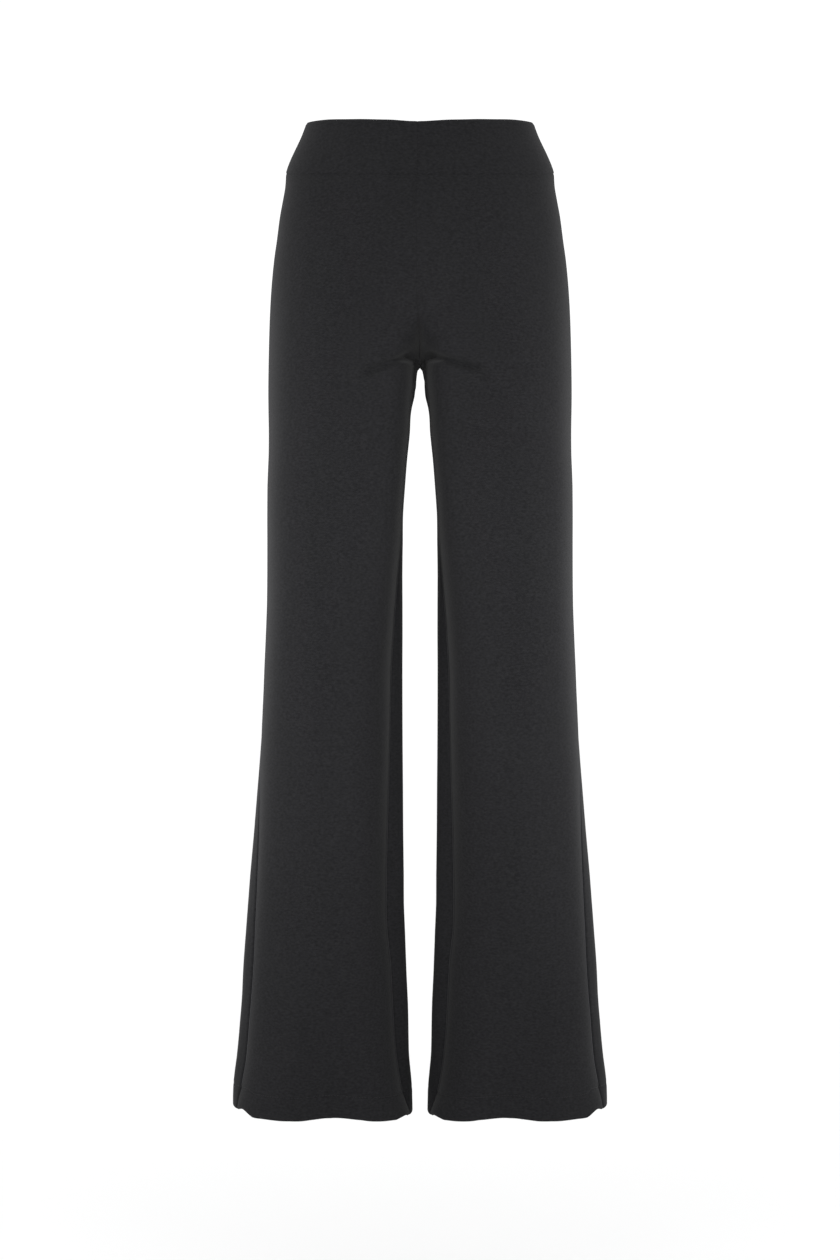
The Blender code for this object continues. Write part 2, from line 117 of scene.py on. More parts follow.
# Soft flutes at the hem: the share of the panel's width where each lies, how far it stands out (or in), its reach across, and the height at which it has died away
FLUTES = {
    "face": ("front", "front", "front", "back", "back", "back"),
    "share": (0.335, 0.52, 0.735, 0.30, 0.50, 0.70),
    "out": (2.0, -8.6, 2.6, 2.4, -7.0, 2.6),
    "reach": (0.085, 0.085, 0.075, 0.09, 0.09, 0.08),
    "top": (-880, -820, -860, -870, -800, -880),
}

COLOUR = (0.0212, 0.0210, 0.0222, 1.0)
BAND_COLOUR = (0.0225, 0.0223, 0.0235, 1.0)

COLUMNS = (0, 0.013, 0.04, 0.1, 0.18, 0.27, 0.38, 0.5, 0.62, 0.73, 0.83, 0.91, 0.965, 0.987, 1)
PER_CORNER = 110  # points along each quarter of a section before it is divided evenly


def ease(x):
    """0 below 0, 1 above 1, smooth between."""
    x = np.clip(x, 0, 1)
    return x * x * (3 - 2 * x)


def bump(x, middle, reach):
    """A smooth hump of height 1."""
    return np.exp(-(((x - middle) / reach) ** 2))


def at(table, column, z):
    """A table's column at heights z, in metres, on a smooth curve through its rows."""
    level = np.asarray(table["level"], float)[::-1] * MM
    value = np.asarray(table[column], float)[::-1]
    step = np.diff(level)
    rise = np.diff(value) / step
    slope = np.empty_like(value)
    slope[0], slope[-1] = rise[0], rise[-1]
    flat = rise[1:] * rise[:-1] <= 0
    with np.errstate(divide="ignore", invalid="ignore"):
        a, b = 2 * step[1:] + step[:-1], step[1:] + 2 * step[:-1]
        slope[1:-1] = np.where(flat, 0, (a + b) / (a / rise[:-1] + b / rise[1:]))
    z = np.clip(z, level[0], level[-1])
    k = np.clip(np.searchsorted(level, z) - 1, 0, len(step) - 1)
    t = (z - level[k]) / step[k]
    found = (
        (1 + 2 * t) * (1 - t) ** 2 * value[k]
        + t * (1 - t) ** 2 * step[k] * slope[k]
        + t * t * (3 - 2 * t) * value[k + 1]
        + t * t * (t - 1) * step[k] * slope[k + 1]
    )
    return found if column.startswith("round") else found * MM


def corner(power, count=PER_CORNER):
    """A quarter of a superellipse, from (1, 0) to (0, 1), for an array of powers."""
    a = np.pi / 4 * (1 - np.cos(np.linspace(0, np.pi, count)))
    power = 2 / np.asarray(power, float)[..., None]
    return np.cos(a).clip(0) ** power, np.sin(a) ** power


def torso_curve(face, z):
    """The section from the side seam to the centre, as x and y arrays with one more axis than z."""
    c, s = corner(at(TORSO, "round", z))
    deep = at(TORSO, face, z)[..., None]
    return at(TORSO, "half", z)[..., None] * c, (-deep if face == "front" else deep) * s


def slot_share(z):
    """How open the gap between the legs is just under the fork: 0 at the fork, 1 below its rounded top."""
    d = np.clip((FORK - z) / SLOT, 0, 1)
    return np.sqrt(1 - (1 - d) ** 2)


def stand_back(x, inner, beside):
    """How far the points of a section move away from the gap between the legs."""
    return beside[..., None] * (1 - np.clip((x - inner[..., None]) / BESIDE_REACH, 0, 1)) ** 2


def leg_curve(face, z):
    """The section from the side seam round the leg to the inseam."""
    open_ = slot_share(z)
    outer, inner = at(LEG, "outer", z), at(LEG, "inner", z)
    below = at(LEG, "inner", np.minimum(z, FORK - SLOT))
    inner = np.where(z > FORK - SLOT, open_ * below, inner)
    # Just under the fork only the cloth beside the gap stands back from it; the rest of the section follows lower down.
    beside = inner * (1 - ease((FORK - z) / SETTLE))
    inner = inner - beside
    seam_out = (outer - at(LEG, "out_in", z))[..., None]
    seam_in = (inner + at(LEG, "in_in", z) * open_)[..., None]
    y_out, y_in, mid = (at(LEG, c, z)[..., None] for c in ("outseam_y", "inseam_y", "middle"))
    if face == "front":
        deep = -at(LEG, "front", z)[..., None]
        c, s = corner(at(LEG, "round_out", z))
        x, y = mid + (seam_out - mid) * c, y_out + (deep - y_out) * s
        c, s = (v[..., ::-1] for v in corner(at(LEG, "round_in", z)))
        x = np.concatenate([x, (mid + (seam_in - mid) * c)[..., 1:]], -1)
        y = np.concatenate([y, (y_in + (deep - y_in) * s)[..., 1:]], -1)
        return x + stand_back(x, inner, beside), y
    outer, inner = outer[..., None], inner[..., None]
    deep = at(LEG, "back", z)[..., None]
    t = np.linspace(0, 1, 12)
    side_x, side_y = outer + (seam_out - outer) * (1 - t) ** 2, y_out + WIDEST * t
    in_x, in_y = inner + (seam_in - inner) * t**2, y_in + WIDEST_INNER * (1 - t)
    c, s = corner(at(LEG, "round_back", z))
    out_y, far_y = y_out + WIDEST + (deep - y_out - WIDEST) * s, y_in + WIDEST_INNER + (deep - y_in - WIDEST_INNER) * s
    x = np.concatenate([side_x, (mid + (outer - mid) * c)[..., 1:], (mid + (inner - mid) * c)[..., -2::-1], in_x[..., 1:]], -1)
    y = np.concatenate([side_y, out_y[..., 1:], far_y[..., -2::-1], in_y[..., 1:]], -1)
    return x + stand_back(x, inner[..., 0], beside), y


def walked(curve):
    """Distance along a curve at each of its points."""
    x, y = curve
    d = np.hypot(np.diff(x), np.diff(y))
    return np.concatenate([np.zeros_like(d[..., :1]), np.cumsum(d, -1)], -1)


def along(curve, length, share):
    """The points at shares of a curve's length, one for each curve."""
    target = share * length[..., -1]
    k = np.clip((length < target[..., None]).sum(-1) - 1, 0, length.shape[-1] - 2)[..., None]
    a, b = (np.take_along_axis(length, k + i, -1)[..., 0] for i in (0, 1))
    t = (target - a) / np.maximum(b - a, 1e-9)
    return [
        (1 - t) * np.take_along_axis(v, k, -1)[..., 0] + t * np.take_along_axis(v, k + 1, -1)[..., 0]
        for v in curve
    ]


def share_at_x(curve, length, x):
    """The share of a torso curve's length at which it lies a distance x from the centre."""
    run_x = curve[0]
    k = np.clip((run_x > x[..., None]).sum(-1) - 1, 0, run_x.shape[-1] - 2)[..., None]
    (xa, xb), (a, b) = ([np.take_along_axis(v, k + i, -1)[..., 0] for i in (0, 1)] for v in (run_x, length))
    t = np.clip((xa - x) / np.maximum(xa - xb, 1e-9), 0, 1)
    return (a + (b - a) * t) / length[..., -1]


def panel_xy(face, share, z):
    """Where the cloth is at these shares of the panel's width and at these heights, and how wide the panel is there."""
    torso, leg = torso_curve(face, z), leg_curve(face, z)
    torso_run, leg_run = walked(torso), walked(leg)
    leg_x, leg_y = along(leg, leg_run, share)
    # A point of the torso curve answers to the point of the leg curve as far from the side seam, or, towards the centre, as far from the centre.
    beside = leg_run[..., -1] * share / torso_run[..., -1]
    inward = share_at_x(torso, torso_run, leg_x * at(TORSO, "half", z) / at(LEG, "outer", z))
    inward = inward - SPREAD * (1 - share) * share**4 * ease((z - FORK) / FRONT_RISE)
    answer = beside + (inward - beside) * ease((share - 0.15) / 0.35)
    near = ease((BAND_SIDE - z) / (BAND_SIDE - FORK - BLEND_RISE))
    x, y = along(torso, torso_run, share + (answer - share) * near)
    up = np.clip((z - FORK) / (FRONT_RISE if face == "front" else BACK_RISE), 0, 1)
    seam = 1 - np.sqrt(1 - (1 - up) ** 2)
    soft = up**2 * (1 + SOFT) / (up + SOFT)
    hollow = seam + ((1 - soft) ** 2.3 - seam) * ease(leg_x / CLEFT)
    away = 1 - ease((z - FORK) / BLEND_RISE)
    w = hollow + (away - hollow) * ease((leg_x - 0.7 * CLEFT) / (3.2 * CLEFT))
    w = np.where(z > FORK, w, 1)
    width = torso_run[..., -1] * (1 - w) + leg_run[..., -1] * w
    return x + (leg_x - x) * w, y + (leg_y - y) * w, width




def band_drop(face, share):
    """How much lower or higher a piece's top edge is than at the side seam, at shares of its width."""
    share = np.asarray(share, float)
    x, y, _ = panel_xy(face, share, np.full_like(share, BAND_SIDE - 2 * MM))
    return y * (BAND_FRONT_TILT if face == "front" else BAND_BACK_TILT)


def along_waist(share):
    """The waist opening's unit curve at shares of its length."""
    c, s = corner(np.full_like(share, WAIST_ROUND))
    curve = (c, s * WAIST_FRONT / WAIST_HALF)
    x, y = along(curve, walked(curve), share)
    return x[..., None], (y * WAIST_HALF / WAIST_FRONT)[..., None]


def normals(grid):
    """The unit normals of a grid of points, from the differences of its rows and columns."""
    n = np.cross(np.gradient(grid, axis=1), np.gradient(grid, axis=0))
    return n / np.maximum(np.linalg.norm(n, axis=-1, keepdims=True), 1e-12)


# ---------------------------------------------------------------- the fine grid

CLOTH = 1.3 * MM  # one layer of the knit
TURN_UP = 26 * MM  # the hem is turned up this far
ALLOW = 9 * MM  # seam allowances inside
STITCH = 25 * MM  # the hem's stitch line, above the hem's edge
HAIR = 0.03 * MM  # half the gap left between two pieces

EDGE = (0, 0.25, 0.5, 0.8, 1.1, 1.5, 2, 2.6, 3.3, 4.2, 5.4, 7, 9, 11.5, 14.5, 18)
NOMINAL = 270.0  # the width, in millimetres, that the columns are laid out on


def columns():
    """Shares of a panel's width, close together beside the seams."""
    outer = list(EDGE)
    inner = [NOMINAL - e for e in EDGE][::-1]
    near = list(np.arange(NOMINAL - 62, inner[0] - 1.0, 2.2))
    middle = list(np.linspace(outer[-1], near[0], 62)[1:-1])
    return np.array(outer + middle + near + inner) / NOMINAL


def heights():
    """The nominal heights of a panel's rows, from its top edge down to the hem."""
    steps = [0, 0.3, 0.6, 1, 1.5, 2.2, 3, 4, 5.5]
    z = [BAND_SIDE - s * MM for s in steps]

    def down(to, step):
        n = max(int(np.ceil((z[-1] - to) / step)), 1)
        z.extend(np.linspace(z[-1], to, n + 1)[1:])

    down(-212 * MM, 2.4 * MM)
    down(-248 * MM, 1.5 * MM)
    down(-282 * MM, 0.8 * MM)
    down(-300 * MM, 1.3 * MM)
    down(-340 * MM, 1.9 * MM)
    down(HEM + STITCH + 6 * MM, 2.6 * MM)
    down(HEM + STITCH + 2 * MM, 0.8 * MM)
    down(HEM + STITCH - 2 * MM, 0.4 * MM)
    down(HEM + 4 * MM, 1.9 * MM)
    down(HEM, 0.8 * MM)
    return np.array(z)


def surface(face, share, rows):
    """A leg panel's smooth outer surface on the wearer's left, and how wide the panel is at each point."""
    drop = band_drop(face, share)[None]
    q = np.broadcast_to(share, (len(rows), len(share)))
    level = np.broadcast_to(rows[:, None], q.shape)
    tilt = ease((level - TILT_END) / (BAND_SIDE - TILT_END))
    fall = ease((HEM_START - level) / (HEM_START - HEM))
    lift = HEM_INNER * q**11 + HEM_MIDDLE * bump(q, MIDDLE_AT, MIDDLE_REACH) + HEM_OUTER[face] * bump(q, OUTER_AT, OUTER_REACH)
    z = level + drop * tilt + lift * fall
    x, y, width = np.empty_like(z), np.empty_like(z), np.empty_like(z)
    for i in range(0, len(rows), 20):
        part = slice(i, i + 20)
        x[part], y[part], width[part] = panel_xy(face, q[part], z[part])
    grid = np.stack([x, y, z], -1)
    # The rows are smoothed a little over their height, more so beside the fork, and not at the seams, the top or the hem.
    near = np.exp(-(((rows - FORK) / (55 * MM)) ** 2))
    sigma = (3.5 + 8.5 * near) * MM
    weigh = np.exp(-0.5 * ((rows[:, None] - rows[None]) / sigma[:, None]) ** 2) * -np.gradient(rows)[None]
    weigh /= weigh.sum(1, keepdims=True)
    mean = weigh @ rows
    smooth = np.einsum("ij,jck->ick", weigh, grid)
    # an uneven window leans: put the lean back along the rows
    lean = np.gradient(grid, rows, axis=0) * (rows - mean)[:, None, None]
    smooth = smooth + lean
    keep = ease(((1 - q) * width - 8 * MM) / (20 * MM))
    keep = keep * ease((rows[0] - level) / (14 * MM)) * ease((level - rows[-1]) / (14 * MM))
    grid = grid + (smooth - grid) * keep[..., None]
    return grid, q, level, width


# How much wider than the CAD the hanging cloth is at its outer and inner outlines, by height, and how much lower its hem hangs, by distance from the centre, all in millimetres
OUTLINE = {
    "outer": (
        (-1070, -1035, -1000, -966, -935, -902, -870, -839, -807, -760, -713, -640, -583, -551, -519, -487, -450, -390, -358, -326, -294, -228, -170, -132, -100, -66, -50),
        (0.2, 0.2, 0.7, 0.8, 0.35, 0.5, 0.45, 0.6, 0.9, 0.9, 1.35, 1.4, 1.5, 1.2, 0.65, 0.7, 0.7, 1.1, 0.45, 0.55, 0.9, 0.7, 0.65, 0.2, 0.5, 0.5, 0.4),
    ),
    "inner": (
        (-1070, -1030, -998, -966, -935, -902, -870, -839, -807, -760, -713, -640, -583, -551, -519, -487, -450, -420, -390, -358, -326, -294, -228),
        (0.6, 0.9, 0.2, 0.3, 0.35, 0.6, 0.4, -0.2, 0.25, 0.3, 0.6, 0.6, 0.6, 0.8, 0.8, 0.7, 0.9, 0.5, 0.6, 0.6, 1.1, 0.4, 0),
    ),
}
HEM_DROP = {
    "x": (0, 15, 25, 40, 52, 62, 73, 83, 94, 104, 115, 125, 136, 146, 157, 167, 178, 190, 205),
    "front": (-0.6, -0.5, 2.5, 2.0, 1.3, 0.3, 0.3, 0.7, 1.4, 1.0, 0.5, 0.8, 0.7, 1.2, 1.5, 1.8, 3.1, 0.2, 0),
    "back": (0.2, 0.4, 0.8, 1.0, 1.0, 1.0, 1.0, 1.0, 1.0, 1.0, 1.0, 1.0, 1.0, 1.0, 1.0, 1.0, 1.0, 0.2, 0),
}
FORK_DROP = 2.7 * MM  # the cloth under the crotch seam hangs a little lower


def trim(face, grid, q):
    """The surface with its outline, its hem and the top of the gap between the legs set right."""
    grid = grid.copy()
    x, z = grid[..., 0].copy(), grid[..., 2].copy()
    mid = at(LEG, "middle", z)
    wide, near = (np.interp(z / MM, *OUTLINE[edge]) * MM for edge in ("outer", "inner"))
    grid[..., 0] += wide * ease((x - mid) / (62 * MM)) - near * ease((mid - x) / (62 * MM)) * ease((FORK - 40 * MM - z) / (40 * MM))
    low = np.interp(x, np.array(HEM_DROP["x"]) * MM, np.array(HEM_DROP[face])) * MM
    grid[..., 2] -= low * ease((-1000 * MM - z) / (50 * MM))
    grid[..., 2] -= FORK_DROP * bump(x, 0, 9 * MM) * bump(z, FORK, 13 * MM)
    return grid


def funnel(grid, level):
    """The front's surface above the fork, drawn in to the centre seam as one smooth hollow."""
    grid = grid.copy()
    reach = 9 * MM
    for i in range(len(grid)):
        w = float(ease((level[i, 0] - FORK - 0.3 * MM) / (1.6 * MM)) * ease((-205 * MM - level[i, 0]) / (14 * MM)))
        if w <= 0:
            continue
        x, y = grid[i, :, 0], grid[i, :, 1]
        k = int(np.argmax(x[::-1] > reach))  # columns from the seam to the first beyond the reach
        part = slice(len(x) - 1 - k, None)
        px, py = x[part][::-1], y[part][::-1]
        e = np.concatenate([[0], np.cumsum(np.hypot(np.diff(px), np.diff(py)))])
        x1, y0, y1 = px[-1], py[0], py[-1]
        m1 = (y[len(x) - 2 - k] - y1) / max(x[len(x) - 2 - k] - x1, 1e-6) * x1
        t = np.linspace(0, 1, 200)
        m0 = 2.3 * (y1 - y0)
        fx = x1 * t
        fy = y0 * (1 + 2 * t) * (1 - t) ** 2 + m0 * t * (1 - t) ** 2 + y1 * t * t * (3 - 2 * t) + m1 * t * t * (t - 1)
        f = np.concatenate([[0], np.cumsum(np.hypot(np.diff(fx), np.diff(fy)))])
        s = e / e[-1] * f[-1]
        grid[i, part, 0] = (px + (np.interp(s, f, fx) - px) * w)[::-1]
        grid[i, part, 1] = (py + (np.interp(s, f, fy) - py) * w)[::-1]
    return grid


def line_off(x, z, run):
    """How far along a line from (x0, z0) to (x1, z1) a point is, as a share, and how far above it."""
    x0, z0, x1, z1 = (v * MM for v in run)
    d = np.array([x1 - x0, z1 - z0])
    t = ((x - x0) * d[0] + (z - z0) * d[1]) / (d @ d)
    c = t.clip(0, 1)
    dx, dz = x - x0 - c * d[0], z - z0 - c * d[1]
    off = np.hypot(dx, dz)
    up = (x - x0) * -d[1] + (z - z0) * d[0]
    return t, off * np.sign(up * np.sign(d[0]))


# Creases that run out from the fork: (x0, z0, x1, z1) in millimetres, depth, half width of the crease, and how much of a lip stands above it
CREASES = {
    ("front", 1): (
        ((7, -259.0, 60, -275.4), 10.5, 3.4, 0.0),
        ((12, -268, 46, -288), 0.8, 6.0, 0.2),
    ),
    ("front", -1): (
        ((7, -259.2, 56, -279.4), 9.0, 3.6, 0.0),
        ((14, -274, 50, -300), 1.1, 7.0, 0.2),
    ),
    ("back", 1): (
        ((10, -250, 78, -272), 2.6, 4.5, 0.9),
        ((12, -276, 60, -302), 1.4, 7.0, 0.3),
    ),
    ("back", -1): (
        ((10, -252, 70, -277), 2.9, 4.0, 0.9),
        ((16, -288, 66, -309), 1.2, 8.0, 0.3),
    ),
}

# Long shallow waves of the hanging cloth: (share of the width, height, reach across in shares, reach along, height out) in millimetres where not a share
WAVES = {
    ("front", 1): (
        (0.62, -470, 0.10, 170, 0.6),
        (0.36, -620, 0.09, 200, -0.5),
        (0.80, -760, 0.07, 150, 0.6),
        (0.22, -360, 0.10, 110, 0.5),
        (0.47, -230, 0.12, 60, -0.4),
    ),
    ("front", -1): (
        (0.60, -500, 0.11, 160, 0.6),
        (0.38, -580, 0.09, 180, -0.7),
        (0.78, -720, 0.07, 170, 0.5),
        (0.20, -390, 0.09, 120, 0.5),
        (0.52, -215, 0.12, 60, -0.4),
    ),
    ("back", 1): (
        (0.58, -430, 0.12, 140, -1.0),
        (0.34, -560, 0.10, 190, 0.8),
        (0.74, -650, 0.08, 170, -0.8),
        (0.45, -300, 0.12, 50, 0.7),
    ),
    ("back", -1): (
        (0.55, -455, 0.12, 150, -0.9),
        (0.30, -530, 0.10, 170, 0.9),
        (0.76, -690, 0.08, 180, -0.7),
        (0.50, -312, 0.12, 50, 0.8),
    ),
}


# Where the cloth is drawn in above the fork: (x, z), reach across and along, and how far back it goes, in millimetres
PITS = (
    (0, -257, 12.0, 9.0, 24.0),
    (0, -244, 16, 15, 4.5),
)


def pit(grid):
    """The front's smooth surface with the hollow above the fork."""
    x, y, z = np.moveaxis(grid, -1, 0)
    back = sum(d * MM * bump(x, a * MM, r * MM) * bump(z, b * MM, u * MM) for a, b, r, u, d in PITS)
    grid = grid.copy()
    grid[..., 1] += back * ease((-y - 8 * MM) / (45 * MM))
    return grid


def touching(grid, q, width):
    """1 where the two legs' cloth lies against each other above the fork, 0 elsewhere."""
    ratio = (grid[..., 0] + 0.01 * MM) / ((1 - q) * width + 0.01 * MM)
    near = (1 - ease(ratio / 0.35)) * (1 - ease((grid[..., 0] - 0.6 * MM) / (4 * MM)))
    return near * ease((grid[..., 2] - FORK + 2 * MM) / (2 * MM))


def folds(face, side, grid, q, width):
    """How far the cloth stands out from the smooth surface in its folds."""
    x, y, z = np.moveaxis(grid, -1, 0)
    move = np.zeros_like(z)
    for f, s, o, r, top in zip(*(FLUTES[k] for k in ("face", "share", "out", "reach", "top"))):
        if f == face:
            grown = ease((top * MM - z) / (top * MM - HEM)) ** 1.5
            move += o * MM * grown * bump(q, s, r)
    out_facing = (y < 0) if face == "front" else (y > 0)
    for run, deep, wide, lip in CREASES[face, side]:
        t, off = line_off(x, z, run)
        c = t.clip(0, 1)
        die = (1 - 0.3 * c) * ease((1.3 - t) / 0.4)
        spread = wide * (1 + 0.15 * c) * MM
        core = 0.76 * bump(off, 0, spread) + 0.24 * np.where(off > 0, bump(off, 0, 2.0 * spread), bump(off, 0, 4.5 * spread))
        move -= deep * MM * die * core * out_facing
        move += lip * MM * die * bump(off, 2.6 * spread, 2.0 * spread) * out_facing
    for s, at_z, across, reach, out in WAVES[face, side]:
        move += out * MM * bump(q, s, across) * bump(z, at_z * MM, reach * MM)
    return move


RIDGE_OUT, RIDGE_IN = 1.3 * MM, 1.5 * MM


def skin(face, side, grid, q, level, width):
    """The fine relief beside the seams and at the hem."""
    z = grid[..., 2]
    e_out, e_in = q * width, (1 - q) * width
    under = FORK - z
    open_leg = ease((under - 190 * MM) / (80 * MM))  # further up the inseam lies on the gap's outline
    low_out = ease((-600 * MM - z) / (170 * MM))  # further up the side seam lies on the outline
    move = -(0.35 + 1.35 * low_out) * MM * bump(e_out, 0, (0.8 + 0.75 * low_out) * MM)
    move -= (0.15 + 1.15 * open_leg) * MM * bump(e_in, 0, (0.8 + 0.4 * open_leg) * MM)
    hem = ease((level - (HEM + STITCH - 1 * MM)) / (4 * MM))  # the ridges end at the stitch line
    if face == "front":
        low = ease((-400 * MM - z) / (110 * MM))
        low_side = ease((-560 * MM - z) / (160 * MM))
        # a narrow raised edge beside each seam, where the cloth turns in to it
        move += RIDGE_IN * low * hem * bump(e_in, 2.8 * MM, 1.3 * MM)
        move += RIDGE_OUT * low_side * hem * bump(e_out, 2.4 * MM, 1.1 * MM)
    else:
        move += 0.35 * MM * hem * ease(under / (80 * MM)) * (open_leg * bump(e_in, 4 * MM, 2.4 * MM) + bump(e_out, 4 * MM, 2.4 * MM))
        move -= 0.7 * MM * ease(under / (20 * MM)) * (1 - open_leg) * bump(e_in, 4 * MM, 5 * MM)
    # the allowances press through a little beside the seams
    move += 0.16 * MM * (bump(e_out, 6.5 * MM, 3.0 * MM) + bump(e_in, 6.5 * MM, 3.0 * MM))
    top = grid[0, :, 2][None] - z
    move -= 0.5 * MM * bump(top, 0, 1.2 * MM)
    above = level - HEM
    move -= 0.2 * MM * bump(above, STITCH, 0.9 * MM)
    move += 0.16 * MM * bump(above, STITCH - 4 * MM, 3.2 * MM) + 0.10 * MM * bump(above, STITCH + 3 * MM, 2 * MM)
    return move


def inside(q, level, width):
    """How thick the cloth is, with the hem's turn-up and the seam allowances."""
    e_out, e_in = q * width, (1 - q) * width
    thick = CLOTH + 1.25 * MM * (1 - ease((level - (HEM + TURN_UP)) / (0.9 * MM)))
    for e in (e_out, e_in):
        thick = thick + 0.9 * MM * (1 - ease((e - ALLOW) / (1.2 * MM))) * ease((level - HEM - TURN_UP) / (6 * MM))
    return thick


# ---------------------------------------------------------------- meshes


def shell(name, outer, inner, pick, low, high, flip, uv):
    """One closed mesh: an outer surface, a rounded lower edge, an inner surface on some of the outer's rows, and a rounded upper edge, closed along both sides."""
    count, across = outer.shape[:2]
    ring = np.concatenate([outer, low, inner[::-1], high])
    rows = len(ring)
    k = np.arange(rows * across).reshape(rows, across)
    n = np.roll(k, -1, axis=0)
    quads = np.stack([k[:, :-1], k[:, 1:], n[:, 1:], n[:, :-1]], -1).reshape(-1, 4)
    faces = quads.tolist()
    first_low, first_in = count, count + len(low)
    last_in = first_in + len(inner) - 1  # the row of the inner surface's top edge

    def inner_row(i):
        return last_in - i

    for c, back in ((0, False), (across - 1, True)):
        sides = [[k[r, c] for r in range(a, b + 1)] + [k[inner_row(i + 1), c], k[inner_row(i), c]] for i, (a, b) in enumerate(zip(pick[:-1], pick[1:]))]
        sides.append([k[r, c] for r in range(count - 1, first_in + 1)])
        if len(high):
            sides.append([k[r, c] for r in range(last_in, rows)] + [k[0, c]])
        for face in sides:
            face = [int(v) for v in face]
            faces.append(face[::-1] if back else face)
    if flip:
        faces = [f[::-1] for f in faces]
    mesh = bpy.data.meshes.new(name)
    mesh.from_pydata(ring.reshape(-1, 3).tolist(), [], faces)
    mesh.validate()
    loops = np.empty(len(mesh.loops), np.int32)
    mesh.loops.foreach_get("vertex_index", loops)
    layer = mesh.uv_layers.new(name="cloth")
    layer.data.foreach_set("uv", uv.reshape(-1, 2)[loops].astype(np.float32).ravel())
    mesh.polygons.foreach_set("use_smooth", np.ones(len(mesh.polygons), bool))
    mesh.update()
    piece = bpy.data.objects.new(name, mesh)
    bpy.context.scene.collection.objects.link(piece)
    return piece


def rounded(outer_edge, inner_edge, away, count=7):
    """The rows of a half circle from one edge to the other, bulging away."""
    mid, half = (outer_edge + inner_edge) / 2, (outer_edge - inner_edge) / 2
    radius = np.linalg.norm(half, axis=-1, keepdims=True)
    a = np.linspace(0, np.pi, count + 2)[1:-1, None, None]
    return mid[None] + half[None] * np.cos(a) + (away * radius)[None] * np.sin(a)


SEAM_SHIFT = 3.9 * MM  # the front centre seam has pulled over to the wearer's right
BAND_SHIFT = 2.7 * MM


def pull_centre(points, side, amount):
    """Moves the front's centre seam sideways, and the cloth beside it less and less."""
    x, z = points[..., 0] * side, points[..., 2]
    fade = ease((z + 250 * MM) / (60 * MM))
    points[..., 0] += side * -amount * np.exp(-((x / (26 * MM)) ** 2)) * fade
    return points


def leg_panel(face, side, share, rows, base):
    """A leg panel's shell and the places of its hem stitches."""
    grid, q, level, width = base
    if face == "front":
        grid = pit(funnel(grid, level))
    grid = trim(face, grid, q)
    out = normals(grid) * (1 if face == "front" else -1)
    fold = folds(face, side, grid, q, width)
    fine = skin(face, side, grid, q, level, width)
    hem_round = CLOTH + 0.62 * MM  # the fold's radius, with the two layers
    apart = 1 - touching(grid, q, width)
    fold, fine = fold * apart, fine * apart
    outer = grid + out * (fold + fine)[..., None]
    thick = inside(q, level, width)
    inner = grid + out * (fold - thick)[..., None]
    # Low down, where the panels meet at an angle, both edges of a seam move the same way and stay together.
    z = grid[..., 2]
    low_out, open_leg = ease((-600 * MM - z) / (170 * MM)), ease((FORK - z - 190 * MM) / (80 * MM))
    for e, way, sink, on in (
        (q * width, -1, (0.35 + 1.35 * low_out) * MM, ease((-440 * MM - z) / (90 * MM))),
        ((1 - q) * width, 1, (0.15 + 1.15 * open_leg) * MM, open_leg),
    ):
        near = (bump(e, 0, 1.6 * MM) * on)[..., None]
        for g, deep in ((outer, sink), (inner, sink + thick)):
            g += near * (grid - g)
            g[..., 0] += near[..., 0] * way * deep
    tilt = ease((level - TILT_END) / (BAND_SIDE - TILT_END))
    # Above the fork the centre seam's edge stays beside its neighbour, whichever way the cloth faces there.
    held = bump((1 - q) * width, 0, 2.2 * MM) * ease((level - FORK + 1.5 * MM) / (2.5 * MM))
    for g in (outer, inner):
        g[..., 0] += held * (grid[..., 0] - g[..., 0])
        g[..., 0] = g[..., 0].clip(0) + HAIR
        g[..., 1] += (-1 if face == "front" else 1) * HAIR
        g[..., 2] -= HAIR * tilt
        if face == "front":
            pull_centre(g, side, SEAM_SHIFT)
    # Inside, both edges of the centre seam lean the same way, so that no light comes straight through.
    inner[..., 0] -= side * 0.4 * MM * bump((1 - q) * width, 0, 2.5 * MM) * ease((level - FORK) / (2 * MM))
    # The hem's fold takes up the last millimetre or so of the height.
    keep = rows >= HEM + hem_round - 0.35 * MM
    outer, inner, level_kept = outer[keep], inner[keep], rows[keep]
    down = np.array([0, 0, -1.0])
    low = rounded(outer[-1], inner[-1], down)
    high = rounded(inner[0], outer[0], -down * 0.35, 3)
    count = len(outer)
    pick = sorted({*range(0, count, 2), count - 1, *[i for i in range(count) if HEM + TURN_UP - 2 * MM < level_kept[i] < HEM + TURN_UP + 2 * MM]})
    u = (q * width)[keep]
    v = np.broadcast_to(level_kept[:, None], u.shape)
    uv = np.stack([u, v], -1)
    arc = [np.stack([uv[-1, :, 0], uv[-1, :, 1] - d], -1) for d in np.linspace(0.5, 4, len(low)) * MM]
    uv_in = uv[pick]
    uv_all = np.concatenate([uv, arc, uv_in[::-1], np.repeat(uv[:1], len(high), 0)])
    turn = np.array([side, 1.0, 1.0])
    name = f"{face}_{'left' if side > 0 else 'right'}"
    piece = shell(name + "_cloth", outer * turn, inner[pick] * turn, pick, low * turn, high * turn, (face == "back") ^ (side < 0), uv_all)
    # Painted highlight: the base colour is made lighter along the pressed edges beside the seams on the lower front,
    # standing in for the light that those seam ridges catch.
    # mask of the painted highlight along the seam edges, stored on the mesh for the material
    seam_highlight = np.zeros(u.shape)
    if face == "front":
        far = (width * (1 - q))[keep]
        seam_highlight = ease((-470 * MM - v) / (120 * MM)) * bump(u, 2.6 * MM, 0.9 * MM) + 0.6 * ease((-400 * MM - v) / (110 * MM)) * bump(far, 2.8 * MM, 0.9 * MM)
        seam_highlight = seam_highlight * ease((v - HEM - STITCH) / (8 * MM))
    layer = piece.data.attributes.new("seam_highlight", "FLOAT", "POINT")
    layer.data.foreach_set("value", np.concatenate([seam_highlight.ravel(), np.zeros(len(piece.data.vertices) - seam_highlight.size)]).astype(np.float32))
    return piece, stitches(name, outer * turn, level_kept, u)


